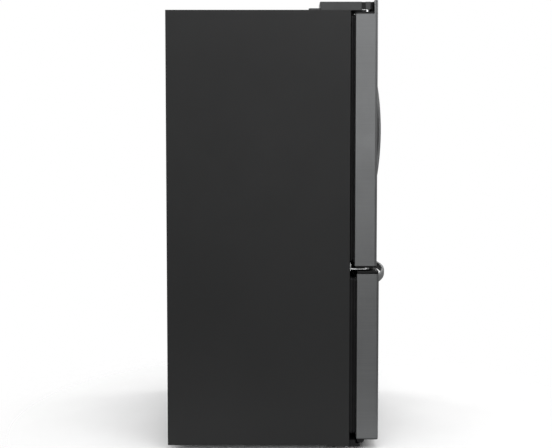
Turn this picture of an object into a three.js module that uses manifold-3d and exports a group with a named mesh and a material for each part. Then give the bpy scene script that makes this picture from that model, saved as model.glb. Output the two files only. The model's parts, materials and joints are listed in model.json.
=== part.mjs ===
// French door refrigerator: two upper doors over one full-width freezer drawer.
// Millimetres, +Z up. The front faces -Y.
// The origin is on the floor, below the middle of the whole object.

import * as THREE from 'three';
import { mergeVertices } from 'three/addons/utils/BufferGeometryUtils.js';
import Module from 'manifold-3d';

const wasm = await Module();
wasm.setup();

// Overall sizes
const WIDTH = 908;
const OVERALL_DEPTH = 909;
const CABINET_BOTTOM = 15;
const CABINET_TOP = 1744.5;
const HALF = WIDTH / 2;

// Depths, measured forward from the back of the cabinet
const CABINET_FRONT = 727;
const DOOR_BACK = 747;
const DOOR_FRONT = 834;
const DRAWER_BACK = 756;
const DRAWER_FRONT = 843;

// Sheet, walls and clearances
const SHEET = 1.2;
const LINER_WALL = 2.5;
const GAP = 0.5;
const FRONT_RETURN = 30;

// Insulated cavities: the fresh food room above, the freezer room below
const FRESH = { half: 402, back: 60, bottom: 765, top: 1690 };
const FREEZER = { half: 394, back: 75, bottom: 95, top: 700, stepBack: 255, stepTop: 315 };
const LINER_FRONT = CABINET_FRONT - SHEET - GAP;
const LINER_FLANGE = 2.3;
const FOAM_FRONT = LINER_FRONT - LINER_FLANGE - GAP;
const FOAM_BACK = 3;
const FOAM_BOTTOM = 38.5;
const LINER_SPLIT = 732.5;

// Machine room at the lower back
const MACHINE_DEPTH = 192;
const MACHINE_TOP = 252;
const VENT = { count: 12, first: -330, pitch: 24, width: 9, bottom: 95, top: 205 };
const GLAND = { at: [300, 75], radius: 13, bore: 5 };
const COMPRESSOR = { centre: -190, depth: 100 };
const COMPRESSOR_FOOT = { left: -275, right: -105, back: 45, front: 155 };
const AIR_VENTS = { rows: 3, columns: [-170, 0, 170], half: 55, bottom: 590, pitch: 24, height: 10 };
const EVAPORATOR_COVER = { half: 330, bottom: 335, top: 690, thick: 12 };

// Base
const DECK_BOTTOM = 34;
const DECK_TOP = 36;
const CHEEK = 2.5;
const LEG = { inset: 26, depth: 717, radius: 7 };
const FRONT_ROLLER = { inset: 28, depth: 665, radius: 13.5, height: 15.5, width: 30 };
const REAR_ROLLER = { inset: 67, depth: 70, radius: 15, height: 15, width: 20 };
const AXLE_RADIUS = 3.5;

// Doors
const DOOR_GAP = 6;
const DOOR_WIDTH = (WIDTH - DOOR_GAP) / 2;
const DOOR_BOTTOM = 737.6;
const DOOR_SHOULDER = 1729;
const DOOR_CAP_TOP = 1737;
const DOOR_LIP_TOP = 1783;
const DOOR_LIP_DEPTH = 15;
const DOOR_CORNER = 12;
const DOOR_CAP_BOTTOM = 730;
const DOOR_GASKET = { bottom: 752, top: 1726, wall: 20 };
const DIKE = { outer: 62, inner: 391, wall: 25, bottom: 777, top: 1678, back: 672 };
const BIN = { back: 636, front: 733, wall: 3 };
const UPPER_BIN = [1400, 1500];
const LOWER_BIN = [995, 1130];
const MULLION = { pivotX: -38, pivotDepth: 716, half: 8, reach: 66, bottom: 811, top: 1639 };

// Door hinges
const HINGE = { inset: 28, depth: 793, pinRadius: 7, holeRadius: 8.5 };
const HINGE_PLATE = { bottom: CABINET_TOP + 1.7, top: CABINET_TOP + 5.7, pinBottom: 1712, eye: 11 };
const MIDDLE_HINGE = { bottom: 722, top: 726, flangeBottom: 718, flangeTop: 748, pinTop: 750, eye: 13 };
const HINGE_COVER = {
  outer: 14,
  inner: 118,
  wall: 2.5,
  round: 4,
  stepBack: 562,
  stepTop: 1753,
  back: 606,
  front: 811,
  top: 1778,
};

// Handles: bowed bars whose outer line is an arc
const DOOR_GRIP = { half: 335, rise: 60, radius: 1280, thickness: 14, foot: 30 };
const DOOR_GRIP_CENTRE = 1280;
const DOOR_GRIP_INSET = 422;
const DOOR_GRIP_WIDTH = 24;
const DRAWER_GRIP = { half: 368, rise: 66, radius: 1039, thickness: 14, foot: 40 };
const DRAWER_GRIP_HEIGHT = 671;
const DRAWER_GRIP_TALL = 31;

// Freezer drawer
const DRAWER_BOTTOM = 42;
const DRAWER_TOP = 704.7;
const DRAWER_CAP_TOP = 716.6;
const DRAWER_CAP_BOTTOM = 38;
const DRAWER_GASKET = { bottom: 56, top: 690, wall: 22 };
const DRAWER_DIKE = { half: 372, wall: 22, bottom: 120, top: 655, back: 715 };
const TOE_LIP = { back: 757, radius: 15, low: 22 };
const CARRIER = { inner: 366, outer: 380, bottom: 380, top: 414.5, back: 262, front: 714.6 };
const RAIL = { back: 190, front: 720, lip: 381, web: 2.5 };
const BASKET = { back: 270, front: 712, bottom: 112, wall: 3.5, rim: 3 };
const TRAY = { half: 370, back: 430, front: 712, top: 530, wall: 3 };

// Shelf heights, from the floor
const UPPER_LEDGE = 1400;
const MIDDLE_LEDGE = 1150;
const CRISPER_LEDGE = 985;
const LEDGE_REACH = 14;
const SHELF = { half: 397, back: 66, front: 560, height: 15, rim: 27, seat: 10, pane: 4 };
const CRISPER = { inner: 6, outer: 392, back: 100, front: 540, bottom: 769, top: 970, wall: 3 };
const CONTROL_PANEL = { half: 190, back: 470, front: 640 };

const LEFT = -1;
const RIGHT = 1;
const SIDES = [[LEFT, 'left'], [RIGHT, 'right']];

// Turns a depth from the back of the cabinet into y, and an inset from the outer side into x.
const y = (depth) => OVERALL_DEPTH / 2 - depth;
const x = (side, inset) => side * (HALF - inset);

const refrigerator = new THREE.Group();

// ---- materials -------------------------------------------------------------------------------------

const MATERIALS = {
  sidePaint: { color: 0x33363a, roughness: 0.55, metalness: 0.3 },
  blackStainless: { color: 0x4a4c50, roughness: 0.32, metalness: 0.85 },
  zinc: { color: 0xb4b6b8, roughness: 0.35, metalness: 0.95 },
  blackPlastic: { color: 0x161718, roughness: 0.5, metalness: 0 },
  greyPlastic: { color: 0x3c3e41, roughness: 0.55, metalness: 0 },
  whitePlastic: { color: 0xe9ecee, roughness: 0.4, metalness: 0 },
  clearPlastic: { color: 0xdfe8ee, roughness: 0.15, metalness: 0 },
  glass: { color: 0xcfe0dc, roughness: 0.08, metalness: 0 },
  rubber: { color: 0x1b1c1e, roughness: 0.75, metalness: 0 },
  foam: { color: 0xe6d9a6, roughness: 0.9, metalness: 0 },
  steel: { color: 0x8f9295, roughness: 0.45, metalness: 0.85 },
  blackSteel: { color: 0x17181a, roughness: 0.5, metalness: 0.5 },
};

function addPart(name, look, geometry) {
  const mesh = new THREE.Mesh(geometry, new THREE.MeshStandardMaterial(MATERIALS[look]));
  mesh.name = name;
  refrigerator.add(mesh);
}

// ---- geometry helpers ------------------------------------------------------------------------------

// A box between two x values, two depths and two heights.
function block([x0, x1], [depth0, depth1], [z0, z1]) {
  const geometry = new THREE.BoxGeometry(Math.abs(x1 - x0), Math.abs(depth1 - depth0), Math.abs(z1 - z0));
  geometry.translate((x0 + x1) / 2, y((depth0 + depth1) / 2), (z0 + z1) / 2);
  return geometry;
}

function shapeOf(points) {
  return new THREE.Shape(points.map(([a, b]) => new THREE.Vector2(a, b)));
}

function extrude(shape, length, curveSegments = 5) {
  return new THREE.ExtrudeGeometry(shape, { depth: length, bevelEnabled: false, curveSegments });
}

// An outline drawn in x and y, raised between two heights.
function raise(shape, z0, z1) {
  return extrude(shape, z1 - z0).translate(0, 0, z0);
}

// An outline drawn in y and z, drawn out between two x values.
function widen(shape, x0, x1) {
  const turn = new THREE.Matrix4().set(0, 0, 1, 0, 1, 0, 0, 0, 0, 1, 0, 0, 0, 0, 0, 1);
  return extrude(shape, Math.abs(x1 - x0)).applyMatrix4(turn).translate(Math.min(x0, x1), 0, 0);
}

// An outline drawn in x and z, drawn out between two depths.
function deepen(shape, depth0, depth1) {
  return extrude(shape, depth1 - depth0).rotateX(Math.PI / 2).translate(0, y(depth0), 0);
}

// A round bar along x, y or z between two ends, through a point of the other two axes.
function bar(axis, radius, [end0, end1], [a, b], sides = 24) {
  const length = Math.abs(end1 - end0);
  const middle = (end0 + end1) / 2;
  const geometry = new THREE.CylinderGeometry(radius, radius, length, sides);
  if (axis === 'x') return geometry.rotateZ(Math.PI / 2).translate(middle, a, b);
  if (axis === 'y') return geometry.translate(a, middle, b);
  return geometry.rotateX(Math.PI / 2).translate(a, b, middle);
}

function solidOf(geometry) {
  const bare = geometry.clone();
  bare.deleteAttribute('normal');
  bare.deleteAttribute('uv');
  const merged = mergeVertices(bare, 1e-3);
  return new wasm.Manifold(new wasm.Mesh({
    numProp: 3,
    vertProperties: new Float32Array(merged.attributes.position.array),
    triVerts: new Uint32Array(merged.index.array),
  }));
}

// One closed body: the first piece, with some pieces joined on and others cut away.
function carve(first, joined = [], cut = []) {
  let body = solidOf(first);
  for (const piece of joined) body = body.add(solidOf(piece));
  for (const piece of cut) body = body.subtract(solidOf(piece));
  const mesh = body.getMesh();
  const geometry = new THREE.BufferGeometry();
  geometry.setAttribute('position', new THREE.BufferAttribute(new Float32Array(mesh.vertProperties), 3));
  geometry.setIndex(new THREE.BufferAttribute(new Uint32Array(mesh.triVerts), 1));
  geometry.computeVertexNormals();
  return geometry;
}

// A flat ring: a rectangle in x and z with a rectangular window, between two depths.
function frame([x0, x1], [z0, z1], wall, [depth0, depth1]) {
  const ring = shapeOf([[x0, z0], [x1, z0], [x1, z1], [x0, z1]]);
  ring.holes.push(shapeOf([
    [x0 + wall, z0 + wall], [x0 + wall, z1 - wall], [x1 - wall, z1 - wall], [x1 - wall, z0 + wall],
  ]));
  return deepen(ring, depth0, depth1);
}

// A plan outline whose two front corners are round.
function roundFronted([x0, x1], [back, front], corner) {
  const outline = new THREE.Shape();
  outline.moveTo(x0, y(back));
  outline.lineTo(x0, y(front) + corner);
  outline.absarc(x0 + corner, y(front) + corner, corner, Math.PI, Math.PI * 1.5, false);
  outline.absarc(x1 - corner, y(front) + corner, corner, Math.PI * 1.5, Math.PI * 2, false);
  outline.lineTo(x1, y(back));
  return outline;
}

// An open-topped bin with walls of one thickness.
function bin([x0, x1], [back, front], [z0, z1], wall, joined = []) {
  const hollow = block([x0 + wall, x1 - wall], [back + wall, front - wall], [z0 + wall, z1 + 1]);
  return carve(block([x0, x1], [back, front], [z0, z1]), joined, [hollow]);
}

// ---- cabinet ---------------------------------------------------------------------------------------

function cabinetWrap() {
  const inner = HALF - SHEET;
  const room = block([-inner, inner], [-1, CABINET_FRONT - SHEET], [0, CABINET_TOP - SHEET]);
  const doorway = block(
    [-HALF + FRONT_RETURN, HALF - FRONT_RETURN],
    [CABINET_FRONT - 3, CABINET_FRONT + 1],
    [0, CABINET_TOP - FRONT_RETURN],
  );
  const outer = block([-HALF, HALF], [0, CABINET_FRONT], [CABINET_BOTTOM, CABINET_TOP]);
  return carve(outer, [], [room, doorway]);
}

function freezerProfile(grow) {
  return shapeOf([
    [y(FOAM_FRONT + 10), FREEZER.bottom - grow], [y(FREEZER.stepBack - grow), FREEZER.bottom - grow],
    [y(FREEZER.stepBack - grow), FREEZER.stepTop - grow], [y(FREEZER.back - grow), FREEZER.stepTop - grow],
    [y(FREEZER.back - grow), FREEZER.top + grow], [y(FOAM_FRONT + 10), FREEZER.top + grow],
  ]);
}

function freezerRoom(grow) {
  return widen(freezerProfile(grow), -FREEZER.half - grow, FREEZER.half + grow);
}

function freshRoom(grow) {
  return block(
    [-FRESH.half - grow, FRESH.half + grow],
    [FRESH.back - grow, FOAM_FRONT + 10],
    [FRESH.bottom - grow, FRESH.top + grow],
  );
}

function insulation() {
  const half = HALF - SHEET - GAP;
  const top = CABINET_TOP - SHEET - GAP;
  const outer = shapeOf([
    [y(MACHINE_DEPTH), FOAM_BOTTOM], [y(FOAM_FRONT), FOAM_BOTTOM], [y(FOAM_FRONT), top],
    [y(FOAM_BACK), top], [y(FOAM_BACK), MACHINE_TOP], [y(MACHINE_DEPTH), MACHINE_TOP],
  ]);
  return carve(widen(outer, -half, half), [], [freshRoom(0), freezerRoom(0)]);
}

// A ledge along one side wall of the fresh food room, with its top at the given height.
function ledge(side, top) {
  const wall = FRESH.half - GAP - LINER_WALL;
  return block([side * (wall + 1), side * (wall - LEDGE_REACH)], [80, SHELF.front], [top - 8, top]);
}

function freshLiner() {
  const half = FRESH.half - GAP;
  const heights = [FRESH.bottom + GAP, FRESH.top - GAP];
  const shell = block([-half, half], [FRESH.back + GAP, LINER_FRONT], heights);
  const flangeHalf = HALF - SHEET - 2 * GAP;
  const flange = block(
    [-flangeHalf, flangeHalf],
    [LINER_FRONT - LINER_FLANGE, LINER_FRONT],
    [LINER_SPLIT + GAP, CABINET_TOP - SHEET - 2 * GAP],
  );
  const walled = carve(shell, [flange], [freshRoom(-GAP - LINER_WALL)]);
  const levels = [UPPER_LEDGE, MIDDLE_LEDGE, CRISPER_LEDGE];
  return carve(walled, levels.flatMap((top) => [ledge(LEFT, top), ledge(RIGHT, top)]));
}

function freezerLiner() {
  const flangeHalf = HALF - SHEET - 2 * GAP;
  const flange = block(
    [-flangeHalf, flangeHalf],
    [LINER_FRONT - LINER_FLANGE, LINER_FRONT],
    [FOAM_BOTTOM, LINER_SPLIT - GAP],
  );
  const beyond = block([-HALF, HALF], [LINER_FRONT, LINER_FRONT + 20], [0, CABINET_TOP]);
  return carve(freezerRoom(-GAP), [flange], [freezerRoom(-GAP - LINER_WALL), beyond]);
}

// The steel strip across the front between the two rooms.
function centreRail() {
  const half = HALF - FRONT_RETURN - GAP;
  return block([-half, half], [CABINET_FRONT - SHEET, CABINET_FRONT], [FREEZER.top - 8, FRESH.bottom + 3]);
}

function rearPanel() {
  const half = HALF - SHEET - GAP;
  return block([-half, half], [1, 1 + SHEET], [MACHINE_TOP, CABINET_TOP - SHEET - GAP]);
}

// Louvred cover of the machine room, with the gland that the mains lead would leave through.
function machineCover() {
  const half = HALF - SHEET - 2;
  const slots = [];
  for (let i = 0; i < VENT.count; i += 1) {
    const left = VENT.first + i * VENT.pitch;
    slots.push(block([left, left + VENT.width], [3, 7], [VENT.bottom, VENT.top]));
  }
  const boss = bar('y', GLAND.radius, [y(0.6), y(5)], GLAND.at);
  const bore = bar('y', GLAND.bore, [y(-1), y(7)], GLAND.at, 16);
  return carve(block([-half, half], [4, 5.5], [38, 249]), [boss], [bore, ...slots]);
}

// A round welded shell with a seam half way up, on a flat foot.
function compressor() {
  const { left, right, back, front } = COMPRESSOR_FOOT;
  const bottom = DECK_TOP + 8;
  const profile = [
    [0, bottom], [62, bottom], [72, bottom + 12], [74, bottom + 62], [77, bottom + 64], [77, bottom + 70],
    [72, bottom + 72], [68, bottom + 120], [52, bottom + 146], [26, bottom + 158], [0, bottom + 161],
  ];
  const dome = new THREE.LatheGeometry(profile.map(([r, z]) => new THREE.Vector2(r, z)), 20);
  dome.rotateX(Math.PI / 2);
  dome.translate(COMPRESSOR.centre, y(COMPRESSOR.depth), 0);
  const foot = block([left, right], [back, front], [DECK_TOP + 0.4, bottom + 3]);
  return carve(foot, [dome]);
}

// Vented wall in front of the evaporator, at the back of the freezer room.
function evaporatorCover() {
  const back = FREEZER.back + GAP + LINER_WALL + GAP;
  const { half, bottom, top, thick } = EVAPORATOR_COVER;
  const slots = [];
  for (let row = 0; row < AIR_VENTS.rows; row += 1) {
    for (const centre of AIR_VENTS.columns) {
      const slotBottom = AIR_VENTS.bottom + row * AIR_VENTS.pitch;
      const slotXs = [centre - AIR_VENTS.half, centre + AIR_VENTS.half];
      slots.push(block(slotXs, [back - 1, back + thick + 1], [slotBottom, slotBottom + AIR_VENTS.height]));
    }
  }
  return carve(block([-half, half], [back, back + thick], [bottom, top]), [], slots);
}

// ---- base ------------------------------------------------------------------------------------------

// Two upright cheeks around a roller, hanging from the deck or the front frame.
function cheeks(side, roller, reach, [bottom, top]) {
  const outer = roller.inset - roller.width / 2 - 2;
  const inner = roller.inset + roller.width / 2 + 2;
  return [[outer - CHEEK, outer], [inner, inner + CHEEK]].map(
    ([from, to]) => block([x(side, from), x(side, to)], reach, [bottom, top]),
  );
}

function axleHole(side, roller) {
  const span = [x(side, roller.inset - roller.width), x(side, roller.inset + roller.width)];
  return bar('x', AXLE_RADIUS + 0.6, span, [y(roller.depth), roller.height], 16);
}

function baseDeck() {
  const half = HALF - SHEET - GAP;
  const plate = block([-half, half], [6, FOAM_FRONT], [DECK_BOTTOM, DECK_TOP]);
  const reach = [REAR_ROLLER.depth - 20, REAR_ROLLER.depth + 20];
  const brackets = SIDES.flatMap(([side]) => cheeks(side, REAR_ROLLER, reach, [7, DECK_BOTTOM + 1]));
  return carve(plate, brackets, SIDES.map(([side]) => axleHole(side, REAR_ROLLER)));
}

function frontFrame() {
  const [top, back, front] = [DECK_BOTTOM - GAP, 636, CABINET_FRONT - SHEET - 1];
  const inner = FRONT_ROLLER.inset + FRONT_ROLLER.width / 2 + 2;
  const cross = block([x(LEFT, inner), x(RIGHT, inner)], [front - 14, front], [12, top]);
  const pieces = SIDES.flatMap(([side]) => [
    ...cheeks(side, FRONT_ROLLER, [back, front], [8, top]),
    block([x(side, inner - 36), x(side, inner + CHEEK)], [back, front], [top - CHEEK, top]),
  ]);
  const holes = SIDES.flatMap(([side]) => [
    axleHole(side, FRONT_ROLLER),
    bar('z', LEG.radius + 0.6, [top - 6, top + 3], [x(side, LEG.inset), y(LEG.depth)]),
  ]);
  return carve(cross, pieces, holes);
}

// A roller with its own axle stubs.
function rollerWheel(side, roller) {
  const half = roller.width / 2;
  const stub = half + 2 + CHEEK;
  const at = [y(roller.depth), roller.height];
  const centre = x(side, roller.inset);
  return carve(
    bar('x', roller.radius, [centre - half, centre + half], at, 28),
    [bar('x', AXLE_RADIUS, [centre - stub, centre + stub], at, 16)],
  );
}

// A threaded leg with a six-sided collar to turn it by.
function levelingLeg(side) {
  const at = [x(side, LEG.inset), y(LEG.depth)];
  return carve(bar('z', LEG.radius, [0, DECK_BOTTOM - 1], at), [bar('z', 10.5, [9, 15], at, 6)]);
}

// The toe strip across the front, stepped in at the top and rounded at the nose.
function baseGrille() {
  const profile = shapeOf([
    [y(728), 9], [y(728), 34], [y(751), 34], [y(752.5), 31], [y(752.5), 20.5], [y(766), 20.5],
    [y(770), 18], [y(771), 14], [y(768), 9],
  ]);
  return widen(profile, -HALF + 6, HALF - 6);
}

// ---- hinges ----------------------------------------------------------------------------------------

// Steel plate on the cabinet's top, narrowing to an arm that carries the upper door pin.
function topHinge(side) {
  const { bottom, top, pinBottom, eye: eyeRadius } = HINGE_PLATE;
  const at = (inset, depth) => [x(side, inset), y(depth)];
  const plate = raise(shapeOf([
    at(22, 660), at(96, 660), at(96, 712), at(62, 735), at(44, 770), at(44, 793), at(18, 793), at(18, 735),
  ]), bottom, top);
  const pivot = [x(side, HINGE.inset), y(HINGE.depth)];
  const feet = block([x(side, 26), x(side, 92)], [664, 706], [CABINET_TOP + 0.4, bottom + 1]);
  const eye = bar('z', eyeRadius, [bottom, top], pivot);
  const pin = bar('z', HINGE.pinRadius, [pinBottom, bottom + 1], pivot);
  return carve(plate, [feet, eye, pin]);
}

// Side outline of the cap: a low step at the back, then the full height up to the door's lip.
function hingeCoverProfile(wall) {
  const { stepBack, stepTop, back, front, top, round } = HINGE_COVER;
  const low = CABINET_TOP + GAP - (wall > 0 ? 5 : 0);
  const high = top - wall;
  const profile = new THREE.Shape();
  profile.moveTo(y(stepBack + wall), low);
  profile.lineTo(y(stepBack + wall), stepTop - wall - 1);
  profile.lineTo(y(stepBack + wall + 3), stepTop - wall);
  profile.lineTo(y(back + wall - 2), stepTop - wall);
  profile.lineTo(y(back + wall), high - round);
  profile.absarc(y(back + wall + round), high - round, round, 0, Math.PI / 2, false);
  profile.lineTo(y(front - wall - round), high);
  profile.absarc(y(front - wall - round), high - round, round, Math.PI / 2, Math.PI, false);
  profile.lineTo(y(front - wall), low);
  return profile;
}

// Hollow cap over the top hinge, open below, ending just behind the raised front lip of the door.
function hingeCover(side) {
  const { outer, inner, wall } = HINGE_COVER;
  const shell = widen(hingeCoverProfile(0), x(side, outer), x(side, inner));
  const hollow = widen(hingeCoverProfile(wall), x(side, outer + wall), x(side, inner - wall));
  return carve(shell, [], [hollow]);
}

// Angle bracket between the doors and the drawer, with the lower door pin.
function middleHinge(side) {
  const { bottom, top, flangeBottom, flangeTop, pinTop, eye: eyeRadius } = MIDDLE_HINGE;
  const pivot = [x(side, HINGE.inset), y(HINGE.depth)];
  const flangeDepths = [CABINET_FRONT + 0.3, CABINET_FRONT + 3.3];
  const flange = block([x(side, 5), x(side, 74)], flangeDepths, [flangeBottom, flangeTop]);
  const plate = block([x(side, 9), x(side, 58)], [CABINET_FRONT + 2, HINGE.depth], [bottom, top]);
  const eye = bar('z', eyeRadius, [bottom, top], pivot);
  const pin = bar('z', HINGE.pinRadius, [top - 1, pinTop], pivot);
  return carve(flange, [plate, eye, pin]);
}

// ---- fresh food room -------------------------------------------------------------------------------

// A moulded shelf frame with a sunken seat for its pane.
function shelfFrame(level) {
  const { half, back, front, height, rim, seat } = SHELF;
  const bottom = level + 0.4;
  const outer = block([-half, half], [back, front], [bottom, bottom + height]);
  const sunken = rim - seat;
  const seatRoom = block(
    [-half + sunken, half - sunken],
    [back + sunken + 1, front - sunken - 1],
    [bottom + 5, bottom + 20],
  );
  const windowDepths = [back + rim + 1, front - rim - 1];
  const window = block([-half + rim, half - rim], windowDepths, [bottom - 1, bottom + 20]);
  return carve(outer, [], [seatRoom, window]);
}

function shelfPane(level) {
  const { half, back, front, rim, seat, pane } = SHELF;
  const bottom = level + 5.8;
  const inset = rim - seat + 0.4;
  const depths = [back + inset + 1, front - inset - 1];
  return block([-half + inset, half - inset], depths, [bottom, bottom + pane]);
}

// One of two vegetable drawers side by side, with a pull along its front edge.
function crisper(side) {
  const { inner, outer, back, front, bottom, top, wall } = CRISPER;
  const xs = [x(side, HALF - inner), x(side, HALF - outer)].sort((a, b) => a - b);
  const pull = block([xs[0] + 40, xs[1] - 40], [front - 2, front + 12], [top - 20, top - 4]);
  return bin(xs, [back, front], [bottom, top], wall, [pull]);
}

// Wedge under the roof of the fresh food room.
function controlPanel() {
  const { half, back, front } = CONTROL_PANEL;
  const roof = FRESH.top - GAP - LINER_WALL;
  const profile = shapeOf([
    [y(back), roof - 0.4], [y(back), roof - 14], [y(front - 40), roof - 26], [y(front), roof - 22],
    [y(front), roof - 0.4],
  ]);
  return widen(profile, -half, half);
}

// ---- doors -----------------------------------------------------------------------------------------

// The folded steel skin: front, two sides and short returns behind, with a raised lip along the top.
function doorSkin(side) {
  const xs = [x(side, 0), x(side, DOOR_WIDTH)].sort((a, b) => a - b);
  const inner = [xs[0] + SHEET, xs[1] - SHEET];
  const outer = raise(roundFronted(xs, [DOOR_BACK, DOOR_FRONT], DOOR_CORNER), DOOR_BOTTOM, DOOR_LIP_TOP);
  const hollow = raise(
    roundFronted(inner, [DOOR_BACK + SHEET, DOOR_FRONT - SHEET], DOOR_CORNER - SHEET),
    DOOR_BOTTOM - 1,
    DOOR_LIP_TOP + 1,
  );
  const opening = block([xs[0] + 9, xs[1] - 9], [DOOR_BACK - 1, DOOR_BACK + 3], [0, DOOR_LIP_TOP + 1]);
  const lipBack = DOOR_FRONT - DOOR_LIP_DEPTH;
  const shoulderHeights = [DOOR_SHOULDER, DOOR_LIP_TOP + 1];
  const shoulder = block([xs[0] - 1, xs[1] + 1], [DOOR_BACK - 1, lipBack], shoulderHeights);
  return carve(outer, [], [hollow, opening, shoulder]);
}

function pinHole(side, [bottom, top]) {
  return bar('z', HINGE.holeRadius, [bottom, top], [x(side, HINGE.inset), y(HINGE.depth)]);
}

// The cap on the shoulder behind the lip, with a riser that fills the lip.
function doorTopCap(side) {
  const xs = [x(side, 0.3), x(side, DOOR_WIDTH - 0.3)].sort((a, b) => a - b);
  const lipBack = DOOR_FRONT - DOOR_LIP_DEPTH;
  const heights = [DOOR_SHOULDER + 0.4, DOOR_CAP_TOP];
  const tread = block(xs, [DOOR_BACK + 1.5, lipBack - 0.4], heights);
  const riserXs = [xs[0] + SHEET + 0.2, xs[1] - SHEET - 0.2];
  const riserDepths = [lipBack + 0.2, DOOR_FRONT - SHEET - 0.5];
  const riserPlan = roundFronted(riserXs, riserDepths, DOOR_CORNER - SHEET);
  const riser = raise(riserPlan, DOOR_SHOULDER + 0.4, DOOR_LIP_TOP - 1);
  const bridge = block(riserXs, [lipBack - 3, lipBack + 3], heights);
  return carve(tread, [bridge, riser], [pinHole(side, [DOOR_SHOULDER - 1, DOOR_CAP_TOP + 1])]);
}

function doorBottomCap(side) {
  const xs = [x(side, 0.5), x(side, DOOR_WIDTH - 0.5)].sort((a, b) => a - b);
  const plate = roundFronted(xs, [DOOR_BACK + 1, DOOR_FRONT - 1], DOOR_CORNER);
  return carve(
    raise(plate, DOOR_CAP_BOTTOM, DOOR_BOTTOM - 0.4),
    [],
    [pinHole(side, [DOOR_CAP_BOTTOM - 1, DOOR_BOTTOM])],
  );
}

// One of two lugs on the left door that carry the pins of the flip mullion.
function mullionLug([bottom, top]) {
  const lug = block([-DOOR_GAP / 2 - 61, MULLION.pivotX + 8], [706, 724], [bottom, top]);
  const hole = bar('z', 3.6, [bottom - 1, top + 1], [MULLION.pivotX, y(MULLION.pivotDepth)], 16);
  return carve(lug, [], [hole]);
}

// The inner door panel: a back sheet with a raised dike around the bins.
function doorLiner(side) {
  const xs = [x(side, 3), x(side, DOOR_WIDTH - 3)].sort((a, b) => a - b);
  const sheetDepths = [DOOR_BACK - 0.3 - LINER_WALL, DOOR_BACK - 0.3];
  const sheet = block(xs, sheetDepths, [DOOR_BOTTOM + 1, DOOR_SHOULDER - 1]);
  const dikeXs = [x(side, DIKE.outer), x(side, DIKE.inner)].sort((a, b) => a - b);
  const dike = frame(dikeXs, [DIKE.bottom, DIKE.top], DIKE.wall, [DIKE.back, DOOR_BACK - 1]);
  const { bottom, top } = MULLION;
  const lugs = side === LEFT
    ? [mullionLug([bottom - 11, bottom - 1]), mullionLug([top + 1, top + 11])]
    : [];
  return carve(sheet, [dike, ...lugs]);
}

function doorGasket(side) {
  const xs = [x(side, 14), x(side, DOOR_WIDTH - 8)].sort((a, b) => a - b);
  const { bottom, top, wall } = DOOR_GASKET;
  const depths = [CABINET_FRONT + 2.5, DOOR_BACK - 0.3 - LINER_WALL - 0.3];
  return frame(xs, [bottom, top], wall, depths);
}

function doorBin(side, [bottom, top]) {
  const clear = DIKE.wall + 0.6;
  const xs = [x(side, DIKE.outer + clear), x(side, DIKE.inner - clear)].sort((a, b) => a - b);
  return bin(xs, [BIN.back, BIN.front], [bottom, top], BIN.wall);
}

// Points of a bowed grip lying on a face: [along, out] pairs, closed, with a foot at each end.
function bowedGrip({ half, rise, radius, thickness, foot, standoff = 0.3 }) {
  const outward = (along) => Math.max(rise - (along * along) / (2 * radius), thickness * 0.5);
  const steps = 20;
  const points = [];
  for (let i = 0; i <= steps; i += 1) {
    const along = -half + (2 * half * i) / steps;
    points.push([along, outward(along)]);
  }
  points.push([half, standoff], [half - foot, standoff]);
  const inner = half - foot - 8;
  for (let i = 0; i <= steps; i += 1) {
    const along = inner - (2 * inner * i) / steps;
    points.push([along, Math.max(outward(along) - thickness, standoff + 3)]);
  }
  points.push([-half + foot, standoff], [-half, standoff]);
  return points;
}

function doorHandle(side) {
  const grip = bowedGrip(DOOR_GRIP);
  const outline = grip.map(([along, out]) => [y(DOOR_FRONT + out), DOOR_GRIP_CENTRE + along]);
  const centre = x(side, DOOR_GRIP_INSET);
  return widen(shapeOf(outline), centre - DOOR_GRIP_WIDTH / 2, centre + DOOR_GRIP_WIDTH / 2);
}

// Hinged seal strip on the left door, folded back here; turned out it closes the gap between the doors.
function flipMullion() {
  const { pivotX, pivotDepth, half, reach, bottom, top } = MULLION;
  const depths = [pivotDepth - reach, pivotDepth + half];
  const body = block([pivotX - half, pivotX + half], depths, [bottom, top]);
  const pin = bar('z', 3, [bottom - 9, top + 9], [pivotX, y(pivotDepth)], 16);
  return carve(body, [pin]);
}

// ---- freezer drawer --------------------------------------------------------------------------------

function drawerSkin() {
  const outer = raise(
    roundFronted([-HALF, HALF], [DRAWER_BACK, DRAWER_FRONT], DOOR_CORNER), DRAWER_BOTTOM, DRAWER_TOP,
  );
  const inner = HALF - SHEET;
  const hollow = raise(
    roundFronted([-inner, inner], [DRAWER_BACK + SHEET, DRAWER_FRONT - SHEET], DOOR_CORNER - SHEET),
    DRAWER_BOTTOM - 1,
    DRAWER_TOP + 1,
  );
  const opening = block([-HALF + 9, HALF - 9], [DRAWER_BACK - 1, DRAWER_BACK + 3], [0, DRAWER_TOP + 1]);
  return carve(outer, [], [hollow, opening]);
}

function drawerCap([bottom, top]) {
  const depths = [DRAWER_BACK + 1, DRAWER_FRONT - 1];
  return raise(roundFronted([-HALF + 0.5, HALF - 0.5], depths, DOOR_CORNER), bottom, top);
}

// The lower cap has a half-round toe lip below it.
function drawerBottomCap() {
  const { back, radius, low } = TOE_LIP;
  const lip = new THREE.Shape();
  lip.moveTo(y(back), DRAWER_CAP_BOTTOM + 2);
  lip.lineTo(y(back), low + radius);
  lip.absarc(y(back + radius), low + radius, radius, 0, -Math.PI, true);
  lip.lineTo(y(back + 2 * radius), DRAWER_CAP_BOTTOM + 2);
  const plate = drawerCap([DRAWER_CAP_BOTTOM, DRAWER_BOTTOM - 0.4]);
  return carve(plate, [widen(lip, -HALF + 8, HALF - 8)]);
}

function drawerLiner() {
  const sheet = block(
    [-HALF + 3, HALF - 3],
    [DRAWER_BACK - 0.3 - LINER_WALL, DRAWER_BACK - 0.3],
    [DRAWER_BOTTOM + 2, DRAWER_TOP - 2],
  );
  const { half, wall, bottom, top, back } = DRAWER_DIKE;
  return carve(sheet, [frame([-half, half], [bottom, top], wall, [back, DRAWER_BACK - 1])]);
}

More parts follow.
